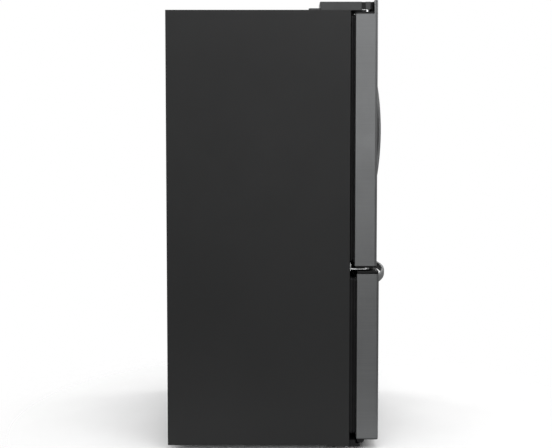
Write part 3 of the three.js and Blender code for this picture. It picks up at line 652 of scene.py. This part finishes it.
def make_rear_panel():
    """Galvanised back sheet with pressed stiffening beads and a row of screws."""
    lo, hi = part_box("rear_panel")
    bm = node_bmesh("rear_panel")
    for i in range(BEAD_ROWS):
        z = lo.z + (hi.z - lo.z) * (i + 0.7) / (BEAD_ROWS + 0.4)
        for side in (-1, 1):
            x0, x1 = sorted((side * 30 * MM, side * (hi.x - 70 * MM)))
            loops = []
            for inset, rise in ((0, -0.2 * MM), *((a, share * BEAD_PROUD) for a, share in BEAD_PROFILE)):
                half = BEAD_TALL / 2 - inset
                outline = (x0 + inset, x1 - inset, z - half, z + half)
                loops.append(upright_loop(*outline, hi.y + rise, half - MM / 100))
            loft(bm, loops, cap_start=True, cap_end=True)
    piece("back_sheet", bm, BODY_OF["rear_panel"], SLOT_OF["rear_panel"], ("rear_panel",))

    screws = bmesh.new()
    margin = 30 * MM
    for z in spread(lo.z + margin, hi.z - margin, SHEET_SCREWS):
        for x in (lo.x + 9 * MM, hi.x - 9 * MM):
            add_screw(screws, (x, hi.y, z), (0, 1, 0), 3.6 * MM, 0.9 * MM)
    cover_lo, cover_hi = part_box("machine_cover")
    for x in spread(cover_lo.x + margin, cover_hi.x - margin, COVER_SCREWS):
        for z in (cover_lo.z + 8 * MM, cover_hi.z - 8 * MM):
            add_screw(screws, (x, cover_hi.y - 3.4 * MM, z), (0, 1, 0), 4 * MM, 1.8 * MM)
    piece("rear_screws", screws, "cabinet", "zinc_plate")


def make_compressor():
    """Welded two-part shell with a seam, a foot plate and four mounts."""
    lo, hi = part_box("compressor")
    centre = Vector(((lo.x + hi.x) / 2, (lo.y + hi.y) / 2, lo.z))
    height = hi.z - lo.z
    wide = (hi.y - lo.y) / 2
    bm = bmesh.new()
    # (share of the radius, share of the height) from the foot to the crown, with the seam half way
    outline = [
        (0.3, 0.05), (0.78, 0.055), (0.9, 0.09), (0.945, 0.16), (0.95, 0.4), (1.0, 0.405), (1.0, 0.44),
        (0.95, 0.445), (0.93, 0.6), (0.86, 0.76), (0.72, 0.88), (0.5, 0.96), (0.22, 0.997), (0.05, 1.0),
    ]
    profile = [(radius * wide, along * height) for radius, along in outline]
    add_turned(bm, centre, (0, 0, 1), profile, 48)
    add_block(bm, (lo.x, lo.y + 20 * MM, lo.z), (hi.x, hi.y - 20 * MM, lo.z + 4 * MM), 1.2 * MM)
    mount = [(9 * MM, 0), (9 * MM, 9 * MM), (6 * MM, 12 * MM)]
    for x in (-66 * MM, 66 * MM):
        for y in (-42 * MM, 42 * MM):
            add_turned(bm, centre + Vector((x, y, 0)), (0, 0, 1), mount, 20)
    piece("compressor_shell", bm, "cabinet", "black_steel", ("compressor",))


GRILLE_SLOTS = 26
GRILLE_MARGIN = 60 * MM


def make_base_grille():
    """Toe grille with a row of air slots cut into its nose."""
    lo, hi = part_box("base_grille")
    grille = refined("base_grille", "toe_grille", 1.0 * MM, 3)
    pitch = (hi.x - lo.x - 2 * GRILLE_MARGIN) / GRILLE_SLOTS
    half = pitch * 0.36
    slots = []
    for i in range(GRILLE_SLOTS):
        x = lo.x + GRILLE_MARGIN + pitch * (i + 0.5)
        slot_lo = (x - half, lo.y - 1 * MM, lo.z + 3.5 * MM)
        slot_hi = (x + half, lo.y + 9 * MM, lo.z + 6.5 * MM)
        slots.append((slot_lo, slot_hi))
    cut_away(grille, slots)


def make_legs_and_rollers():
    for side in SIDES:
        make_leg(side)
    for end in ("front", "rear"):
        for side in SIDES:
            make_roller(f"{end}_{side}_roller")


def make_leg(side):
    """A levelling leg: rounded foot, threaded shank and a hexagonal collar."""
    node = f"{side}_leveling_leg"
    lo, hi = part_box(node)
    centre = Vector(((lo.x + hi.x) / 2, (lo.y + hi.y) / 2, lo.z))
    pitch = 1.2 * MM
    profile = [
        (5.5 * MM, 0), (6.8 * MM, 0.6 * MM), (7 * MM, 1.4 * MM), (7 * MM, 7.5 * MM), (6.2 * MM, 8 * MM),
    ]
    z = 9 * MM
    while z < hi.z - lo.z - pitch:
        profile += [(6.1 * MM, z), (6.9 * MM, z + pitch / 2)]
        z += pitch
    profile += [(6.0 * MM, hi.z - lo.z)]
    bm = bmesh.new()
    add_turned(bm, centre, (0, 0, 1), profile, 28)
    collar = [(9.2 * MM, 9 * MM), (10.4 * MM, 10 * MM), (10.4 * MM, 14 * MM), (9.2 * MM, 15 * MM)]
    add_turned(bm, centre, (0, 0, 1), collar, 6)
    piece(f"{side}_leg_screw", bm, BODY_OF[node], SLOT_OF[node], (node,))


def make_roller(node):
    """A moulded wheel with a rounded tread, a recessed web and axle stubs."""
    lo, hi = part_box(node)
    centre = (lo + hi) / 2
    stub = (hi.x - lo.x) / 2
    half = stub - 4.5 * MM
    radius = (hi.z - lo.z) / 2
    first_half = [
        (3 * MM, -stub), (3.5 * MM, -stub + 0.5 * MM), (3.5 * MM, -half + 2 * MM),
        (5.5 * MM, -half + 2 * MM), (5.5 * MM, -half), (7 * MM, -half), (7.5 * MM, -half + 3 * MM),
        (radius - 4 * MM, -half + 3 * MM), (radius - 3.5 * MM, -half), (radius - 1.5 * MM, -half),
        (radius, -half + 1.5 * MM),
    ]
    second_half = [(around, -along) for around, along in reversed(first_half)]
    bm = bmesh.new()
    add_turned(bm, centre, (1, 0, 0), first_half + second_half, 40)
    piece(f"{node}_wheel", bm, BODY_OF[node], SLOT_OF[node], (node,))


# ---- hinges -----------------------------------------------------------------------------------------


# Turned profiles: (radius, height) pairs from the bottom up
CAP_SCREW = [
    (4.6 * MM, -0.6 * MM), (4.6 * MM, -0.15 * MM), (4.1 * MM, 0), (3.4 * MM, 0), (3.2 * MM, -0.3 * MM),
    (0.4 * MM, -0.3 * MM),
]
UPPER_BUSH = [
    (7.2 * MM, 0), (9 * MM, 0), (9.4 * MM, 0.6 * MM), (9.4 * MM, 9 * MM), (8.6 * MM, 9.6 * MM),
    (7.2 * MM, 9.6 * MM),
]
MIDDLE_BUSH = [
    (7.2 * MM, 0), (11.5 * MM, 0), (11.5 * MM, 1.6 * MM), (10.6 * MM, 2.4 * MM), (8.2 * MM, 2.4 * MM),
    (7.2 * MM, 2.9 * MM),
]


def make_hinges():
    for side in SIDES:
        make_hinge_cover(side)
        refined(f"{side}_top_hinge", f"{side}_upper_hinge_plate", 0.7 * MM)
        make_middle_hinge(side)


def make_hinge_cover(side):
    """Moulded cap: a low step behind, a main shell, and a clip at the pin between two deep joints."""
    node = f"{side}_hinge_cover"
    lo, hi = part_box(node)
    pivot = hinge_pivot(side)
    step_length = 44 * MM
    step_top = lo.z + 8 * MM
    main_back = hi.y - step_length
    main_front = pivot.y + 20 * MM
    clip = (pivot.y - 12 * MM, pivot.y + 8 * MM)
    notch = lo.z + 3.2 * MM
    inner = 1.8 * MM
    shell = bmesh.new()
    step_lo = (lo.x + 3 * MM, main_back - 4 * MM, lo.z)
    add_cap(shell, step_lo, (hi.x - 3 * MM, hi.y, step_top), 8 * MM, 1.2 * MM)
    add_cap(shell, (lo.x, main_front, lo.z), (hi.x, main_back, hi.z), 7 * MM, 1.4 * MM)
    add_cap(shell, (lo.x, clip[0], notch), (hi.x, clip[1], hi.z), 1.5 * MM, 1.4 * MM)
    piece(f"{side}_hinge_cap", shell, BODY_OF[node], SLOT_OF[node], (node,))
    core = bmesh.new()
    core_lo = (lo.x + inner, lo.y, notch)
    core_hi = (hi.x - inner, main_front + 12 * MM, hi.z - inner / 2)
    add_cap(core, core_lo, core_hi, 1.2 * MM, 0.8 * MM)
    piece(f"{side}_hinge_cap_core", core, "cabinet", "black_plastic")
    screws = bmesh.new()
    for y, top in ((hi.y - step_length / 2, step_top), (main_back - 60 * MM, hi.z)):
        add_turned(screws, ((lo.x + hi.x) / 2, y, top), (0, 0, 1), CAP_SCREW, 28)
    piece(f"{side}_cap_screws", screws, "cabinet", "zinc_plate")
    bush = bmesh.new()
    add_turned(bush, (pivot.x, pivot.y, lo.z - 7.6 * MM), (0, 0, 1), UPPER_BUSH, 32)
    piece(f"{side}_upper_bush", bush, "cabinet", "zinc_plate")


def hinge_pivot(side):
    """A point on the axis of a door's hinge."""
    hinge = next(joint for joint in frame["joints"] if joint["name"] == f"{side}_door_hinge")
    return Vector(hinge["pos_m"])


def add_cap(bm, lo, hi, corner, edge):
    """A block with round upright corners and a rounded top edge."""
    loops = [level_loop(lo, hi, 0, lo[2], corner), level_loop(lo, hi, 0, hi[2] - edge, corner)]
    for turn in (0.25, 0.5, 0.75, 1.0):
        angle = math.pi / 2 * turn
        inset = edge * (1 - math.cos(angle))
        z = hi[2] - edge + edge * math.sin(angle)
        loops.append(level_loop(lo, hi, inset, z, max(corner - inset, MM / 10)))
    loft(bm, loops, cap_start=True, cap_end=True)


def make_head_trim():
    """Moulded black strip along the head of the cabinet, behind the tops of the doors."""
    lo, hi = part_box("cabinet_wrap")
    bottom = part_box("left_door_gasket")[1].z + 1 * MM
    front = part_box("left_door_skin")[1].y + 0.8 * MM
    half = hi.x - 66 * MM
    bm = bmesh.new()
    add_block(bm, (-half, front, bottom), (half, lo.y, hi.z - 0.6 * MM), 1.4 * MM, 3)
    piece("head_trim", bm, "cabinet", "black_plastic")


def make_middle_hinge(side):
    """Zinc-plated angle with a rolled bend, its pin in a bright bush, and two screws."""
    node = f"{side}_middle_hinge"
    lo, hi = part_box(node)
    refined(node, f"{side}_centre_hinge", 0.9 * MM, 3)
    pivot = hinge_pivot(side)
    plate_top = lo.z + 8 * MM
    bm = bmesh.new()
    add_turned(bm, (pivot.x, pivot.y, plate_top), (0, 0, 1), MIDDLE_BUSH, 36)
    for x in (lo.x + 12 * MM, hi.x - 12 * MM):
        add_screw(bm, (x, hi.y - 3 * MM, lo.z + 20 * MM), (0, -1, 0), 4.6 * MM, 2.4 * MM)
    piece(f"{side}_hinge_bush", bm, "cabinet", "zinc_plate")


# ---- doors ------------------------------------------------------------------------------------------


DOOR_DIKE_BOTTOM = 777 * MM
DOOR_DIKE_TOP = 1678 * MM
DOOR_DIKE_WALL = 25 * MM
DOOR_DIKE_DEEP = 72.2 * MM
DOOR_GRIP_RADIUS = 1.28


def make_doors():
    for side, sign in (("left", -1), ("right", 1)):
        refined(f"{side}_door_skin", f"{side}_door_shell", 0.4 * MM)
        make_door_upper_cap(side, sign)
        refined(f"{side}_door_bottom_cap", f"{side}_door_lower_cap", 1.2 * MM, 3)
        make_door_liner(side)
        # black ring of painted shade over the door liner's rim
        make_shade_ring(f"{side}_door_liner", f"{side}_door_shade_ring")
        make_gasket(f"{side}_door_gasket", f"{side}_door_seal")
        for level in ("upper", "lower"):
            make_door_bin(f"{side}_{level}_bin", f"{side}_{level}_door_bin")
        make_handle(f"{side}_door_handle", f"{side}_door_grip", 2, 0, DOOR_GRIP_RADIUS)
    make_flip_mullion()


def make_door_upper_cap(side, sign):
    """Cap on the door's shoulder; away from the hinge it also backs the raised lip."""
    node = f"{side}_door_top_cap"
    lo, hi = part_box(node)
    skin_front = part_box(f"{side}_door_skin")[0].y
    bm = node_bmesh(node)
    round_edges(bm, 1.0 * MM, 3)
    hinge_side = hinge_pivot(side).x - sign * 14 * MM
    free_side = (hi.x if sign < 0 else lo.x) + sign * 4 * MM
    x0, x1 = sorted((hinge_side, free_side))
    front, back = skin_front + 14.6 * MM, skin_front + 21.5 * MM
    add_block(bm, (x0, front, hi.z - 47 * MM), (x1, back, hi.z - 0.2 * MM), 1.2 * MM, 3)
    piece(f"{side}_door_upper_cap", bm, BODY_OF[node], SLOT_OF[node], (node,))


def grown(outline, by):
    """An (x0, x1, z0, z1) outline moved outward on all four sides, or inward where by is negative."""
    x0, x1, z0, z1 = outline
    return x0 - by, x1 + by, z0 - by, z1 + by


def make_door_liner(side):
    """Vacuum-formed inner panel: a flat rim, a tall rounded dike and a recessed middle."""
    node = f"{side}_door_liner"
    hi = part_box(node)[1]
    bin_lo, bin_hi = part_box(f"{side}_upper_bin")
    wall = DOOR_DIKE_WALL
    reach = wall + 0.6 * MM
    dike = (bin_lo.x - reach, bin_hi.x + reach, DOOR_DIKE_BOTTOM, DOOR_DIKE_TOP)
    back = hi.y - DOOR_DIKE_DEEP
    sheet = back - 2.5 * MM
    rim = rim_box(node)
    draft = 4 * MM
    # (distance inside the dike's outline, y, corner radius), from the rim over the dike to the recess
    course = (
        (-3 * MM, back, 20 * MM),
        (-0.6 * MM, back + 0.8 * MM, 18 * MM),
        (0, back + 3 * MM, 18 * MM),
        (draft, hi.y - 6 * MM, 16 * MM),
        (draft + 1.2 * MM, hi.y - 3 * MM, 15 * MM),
        (draft + 3.5 * MM, hi.y - 0.9 * MM, 15 * MM),
        (draft + 6.5 * MM, hi.y, 15 * MM),
        (wall - 6.5 * MM, hi.y, 8 * MM),
        (wall - 3.5 * MM, hi.y - 0.9 * MM, 8 * MM),
        (wall - 1.2 * MM, hi.y - 3 * MM, 8 * MM),
        (wall, hi.y - 6 * MM, 8 * MM),
        (wall, back + 2 * MM, 8 * MM),
        (wall + 0.8 * MM, back + 0.6 * MM, 8 * MM),
        (wall + 3 * MM, back, 8 * MM),
    )
    loops = [upright_loop(*rim, sheet, 3 * MM), upright_loop(*rim, back, 3 * MM)]
    loops += [upright_loop(*grown(dike, -inset), y, corner) for inset, y, corner in course]
    bm = bmesh.new()
    loft(bm, loops, cap_start=True, cap_end=True)
    if side == "left":
        add_mullion_lugs(bm, dike[1])
    piece(f"{side}_door_inner_panel", bm, BODY_OF[node], SLOT_OF[node], (node,))


def add_mullion_lugs(bm, dike_edge):
    """Two ears on the dike that carry the flip mullion's pins."""
    lo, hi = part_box("flip_mullion")
    for bottom, top in ((lo.z - 2 * MM, lo.z + 7.5 * MM), (hi.z - 7.5 * MM, hi.z + 2 * MM)):
        lug_lo = (dike_edge - 6 * MM, lo.y + 0.4 * MM, bottom)
        lug_hi = (hi.x + 0.5 * MM, lo.y + 17 * MM, top)
        add_block(bm, lug_lo, lug_hi, 1.2 * MM)


# The black ring is painted shade: it darkens the liner's rim where the gap behind a door or drawer lies in shade.
SHADE_RING_WIDE = 13 * MM
SHADE_RING_THICK = 2.5 * MM


def make_shade_ring(node, name):
    """Black ring between a door's steel hem and its liner, under the seal: painted shade, a dark ring laid over
    the liner's white rim so that it reads as the shaded gap behind the door.
    """
    lo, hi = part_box(node)
    back = frame_plane(node)
    outer = (lo.x, hi.x, lo.z, hi.z)
    inner = grown(outer, -SHADE_RING_WIDE)
    bm = bmesh.new()
    loft(bm, [
        upright_loop(*outer, back - SHADE_RING_THICK, 3 * MM),
        upright_loop(*outer, back - 0.5 * MM, 3 * MM),
        upright_loop(*grown(outer, -0.5 * MM), back, 3 * MM),
        upright_loop(*inner, back, 3 * MM),
        upright_loop(*inner, back - SHADE_RING_THICK, 3 * MM),
    ], close=True)
    piece(name, bm, BODY_OF[node], "black_plastic")


def frame_plane(node):
    """The y of the flat rim that a door's or drawer's seal sits on."""
    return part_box(node.replace("liner", "gasket"))[0].y - 0.3 * MM


def rim_box(node):
    """(x0, x1, z0, z1) of a liner's flat rim, just inside the black ring of painted shade."""
    lo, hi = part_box(node)
    return grown((lo.x, hi.x, lo.z, hi.z), -SHADE_RING_WIDE - 0.2 * MM)


def make_gasket(node, name):
    """A magnetic seal: dart base, two bellows folds and a flat magnet bar, mitred at the corners."""
    lo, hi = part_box(node)
    across = 20 * MM if "door" in node else 22 * MM
    # (share of the width, share of the height) once round the section
    profile = (
        (0.1, 0.0), (0.1, 0.16), (0.0, 0.2), (0.0, 0.34), (0.16, 0.42), (0.16, 0.5), (0.0, 0.58),
        (0.0, 0.9), (0.05, 0.98), (0.14, 1.0), (0.86, 1.0), (0.95, 0.98), (1.0, 0.9), (1.0, 0.62),
        (0.8, 0.54), (0.8, 0.46), (0.96, 0.36), (0.96, 0.22), (0.88, 0.16), (0.88, 0.0),
    )
    loops = []
    for inward, rise in profile:
        inset = inward * across
        y = lo.y + rise * (hi.y - lo.y)
        corner = 7 * MM + max(0.0, 6 * MM - inset * 0.3)
        loops.append(upright_loop(*grown((lo.x, hi.x, lo.z, hi.z), -inset), y, corner, 6))
    bm = bmesh.new()
    loft(bm, loops, close=True)
    piece(name, bm, BODY_OF[node], SLOT_OF[node], (node,), math.radians(50))


def tub_loops(lo, hi, wall, corner, foot, rim):
    """Loops of an open-topped moulded tub: outside up, over the rim, and down the inside."""
    loops = []
    for i in range(5):
        angle = math.pi / 2 * i / 4
        inset = foot * (1 - math.sin(angle))
        z = lo[2] + foot * (1 - math.cos(angle))
        loops.append(level_loop(lo, hi, rim + inset, z, corner))
    lip = hi[2] - 3.5 * MM
    loops.append(level_loop(lo, hi, rim, lip, corner))
    loops.append(level_loop(lo, hi, 0.3 * MM, lip + 0.2 * MM, corner + rim))
    loops.append(level_loop(lo, hi, 0, lip + 1 * MM, corner + rim))
    loops.append(level_loop(lo, hi, 0, hi[2] - 1 * MM, corner + rim))
    loops.append(level_loop(lo, hi, 0.8 * MM, hi[2], corner + rim))
    inner = max(corner - wall, 1 * MM)
    loops.append(level_loop(lo, hi, rim + wall - 0.6 * MM, hi[2], inner))
    loops.append(level_loop(lo, hi, rim + wall, hi[2] - 0.8 * MM, inner))
    for i in range(5):
        angle = math.pi / 2 * (1 - i / 4)
        inset = foot * (1 - math.sin(angle))
        z = lo[2] + wall + foot * (1 - math.cos(angle))
        loops.append(level_loop(lo, hi, rim + wall + inset, z, inner))
    return loops


def make_door_bin(node, name):
    """A clear balcony bin with a white trim bar along its open edge."""
    lo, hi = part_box(node)
    bm = bmesh.new()
    loft(bm, tub_loops(lo, hi, 2.6 * MM, 12 * MM, 7 * MM, 2 * MM), cap_start=True, cap_end=True)
    piece(name, bm, BODY_OF[node], SLOT_OF[node], (node,))
    trim = bmesh.new()
    trim_lo = (lo.x + 8 * MM, hi.y - 0.9 * MM, hi.z - 17 * MM)
    trim_hi = (hi.x - 8 * MM, hi.y + 3 * MM, hi.z - 4.5 * MM)
    add_block(trim, trim_lo, trim_hi, 1.4 * MM, 3)
    piece(f"{name}_trim", trim, BODY_OF[node], "white_plastic")


def make_flip_mullion():
    """Seal strip with a steel face plate and moulded ends."""
    lo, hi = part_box("flip_mullion")
    refined("flip_mullion", "door_gap_seal", 1.4 * MM, 3)
    plate_lo = (lo.x - 0.5 * MM, lo.y + 8 * MM, lo.z + 20 * MM)
    plate_hi = (lo.x + 0.4 * MM, hi.y - 6 * MM, hi.z - 20 * MM)
    bm = bmesh.new()
    add_block(bm, plate_lo, plate_hi, 0.3 * MM)
    piece("door_gap_seal_plate", bm, "flip_mullion", "side_paint")


GRIP_HALF_THICK = 7 * MM
GRIP_NOSE = 16 * MM
GRIP_FOOT = 12 * MM
GRIP_FOOT_INSET = 19 * MM


def make_handle(node, name, along, across, radius):
    """A bowed bar with a rounded section and nose, on a small pedestal at each end.

    The axes named along and across are the bar's length and width. Its outer line is an arc of the
    radius, and it stays clear of the face behind it.
    """
    lo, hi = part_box(node)
    face = hi.y + 0.3 * MM
    rise = face - lo.y
    half = (hi[along] - lo[along]) / 2
    wide = (hi[across] - lo[across]) / 2
    middle_along = (hi[along] + lo[along]) / 2
    middle_across = (hi[across] + lo[across]) / 2
    thick = GRIP_HALF_THICK
    lowest = thick + 1.5 * MM

    def outward(t):
        return max(rise - t * t / (2 * radius), lowest)

    def place(t, out, w):
        point = [0.0, face - out, 0.0]
        point[along] = middle_along + t
        point[across] = middle_across + w
        return Vector(point)

    bm = bmesh.new()
    loops = []
    for t in grip_stations(half):
        end = min(1.0, (half - abs(t)) / GRIP_NOSE)
        swell = math.sqrt(max(0.0, 1 - (1 - end) ** 2)) * 0.86 + 0.14
        tilt = math.atan(-t / radius) if outward(t) > lowest else 0.0
        centre = outward(t) - thick
        loop = []
        for u, v in rounded_rect(-1, 1, -1, 1, 0.62, 5):
            out = v * thick * swell
            loop.append(place(t - out * math.sin(tilt), centre + out * math.cos(tilt), u * wide * swell))
        loops.append(loop)
    loft(bm, loops, cap_start=True, cap_end=True)

    base = wide * 0.72
    for end in (-1, 1):
        t = end * (half - GRIP_FOOT_INSET)
        top = max(outward(t) - thick, 3 * MM)
        # (how much wider than its neck, height above the face)
        courses = (
            (1.5 * MM, 0.3 * MM), (1.5 * MM, 1.2 * MM), (0.3 * MM, 2.2 * MM),
            (0, top * 0.6), (-1 * MM, top),
        )
        pedestal = []
        for grow, out in courses:
            outline = rounded_rect(-GRIP_FOOT - grow, GRIP_FOOT + grow, -base - grow, base + grow, 5 * MM)
            pedestal.append([place(t + a, out, b) for a, b in outline])
        loft(bm, pedestal, cap_start=True, cap_end=True)
    piece(name, bm, BODY_OF[node], SLOT_OF[node], (node,), math.radians(40))


def grip_stations(half, turns=8, spans=56):
    """Places along a grip, from end to end: close together round each nose, even between them."""
    nose = [GRIP_NOSE * (1 - math.cos(math.pi / 2 * i / turns)) for i in range(turns + 1)]
    straight = [2 * (half - GRIP_NOSE) * i / spans - half + GRIP_NOSE for i in range(1, spans)]
    return [d - half for d in nose] + straight + [half - d for d in reversed(nose)]


# ---- freezer drawer ---------------------------------------------------------------------------------


DRAWER_DIKE = (-372 * MM, 372 * MM, 120 * MM, 655 * MM)
DRAWER_DIKE_WALL = 22 * MM
DRAWER_DIKE_DEEP = 38.2 * MM
DRAWER_GRIP_RADIUS = 1.039


def make_drawer():
    refined("drawer_skin", "drawer_shell", 0.4 * MM)
    refined("drawer_top_cap", "drawer_upper_cap", 1.6 * MM, 3)
    refined("drawer_bottom_cap", "drawer_lower_cap", 0.8 * MM)
    make_drawer_liner()
    # black ring of painted shade over the drawer liner's rim
    make_shade_ring("drawer_liner", "drawer_shade_ring")
    make_gasket("drawer_gasket", "drawer_seal")
    make_handle("drawer_handle", "drawer_grip", 0, 2, DRAWER_GRIP_RADIUS)
    dress("drawer_carrier", 0.8 * MM)
    for side in SIDES:
        dress(f"{side}_drawer_rail", 0.5 * MM)
    make_tub("freezer_basket", "frozen_food_basket", rim=14 * MM)
    make_tub("freezer_tray", "sliding_tray", rim=4 * MM)


def make_drawer_liner():
    """Inner panel of the drawer front: a flat rim, a rounded dike and a recessed middle."""
    node = "drawer_liner"
    lo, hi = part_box(node)
    back = hi.y - DRAWER_DIKE_DEEP
    wall = DRAWER_DIKE_WALL
    rim = rim_box(node)
    # (distance inside the dike's outline, y, corner radius), from the rim over the dike to the recess
    course = (
        (-2 * MM, back, 18 * MM),
        (0, back + 2 * MM, 16 * MM),
        (2 * MM, hi.y - 4 * MM, 15 * MM),
        (5 * MM, hi.y, 13 * MM),
        (wall - 5 * MM, hi.y, 8 * MM),
        (wall - 1 * MM, hi.y - 4 * MM, 7 * MM),
        (wall, back + 2 * MM, 7 * MM),
        (wall + 2 * MM, back, 6 * MM),
    )
    loops = [upright_loop(*rim, lo.y, 3 * MM), upright_loop(*rim, back, 3 * MM)]
    loops += [upright_loop(*grown(DRAWER_DIKE, -inset), y, corner) for inset, y, corner in course]
    bm = bmesh.new()
    loft(bm, loops, cap_start=True, cap_end=True)
    piece("drawer_inner_panel", bm, BODY_OF[node], SLOT_OF[node], (node,))


def make_tub(node, name, rim):
    """A clear moulded tub whose rim reaches out over its walls."""
    lo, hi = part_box(node)
    bm = bmesh.new()
    loft(bm, tub_loops(lo, hi, 3 * MM, 14 * MM, 10 * MM, rim), cap_start=True, cap_end=True)
    piece(name, bm, BODY_OF[node], SLOT_OF[node], (node,))


def make_crispers():
    """Two clear vegetable drawers, each with a pull along its front edge."""
    for side in SIDES:
        node = f"{side}_crisper"
        lo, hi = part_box(node)
        front = lo.y + 12 * MM
        bm = bmesh.new()
        loops = tub_loops((lo.x, front, lo.z), hi, 3 * MM, 12 * MM, 9 * MM, 2 * MM)
        loft(bm, loops, cap_start=True, cap_end=True)
        pull_lo = (lo.x + 40 * MM, lo.y, hi.z - 20 * MM)
        pull_hi = (hi.x - 40 * MM, front + 3 * MM, hi.z - 4 * MM)
        add_block(bm, pull_lo, pull_hi, 3 * MM, 3)
        piece(f"{side}_vegetable_drawer", bm, BODY_OF[node], SLOT_OF[node], (node,))


make_camera()
make_stage()
make_cabinet()
make_legs_and_rollers()
make_hinges()
make_head_trim()
make_doors()
make_drawer()
make_crispers()
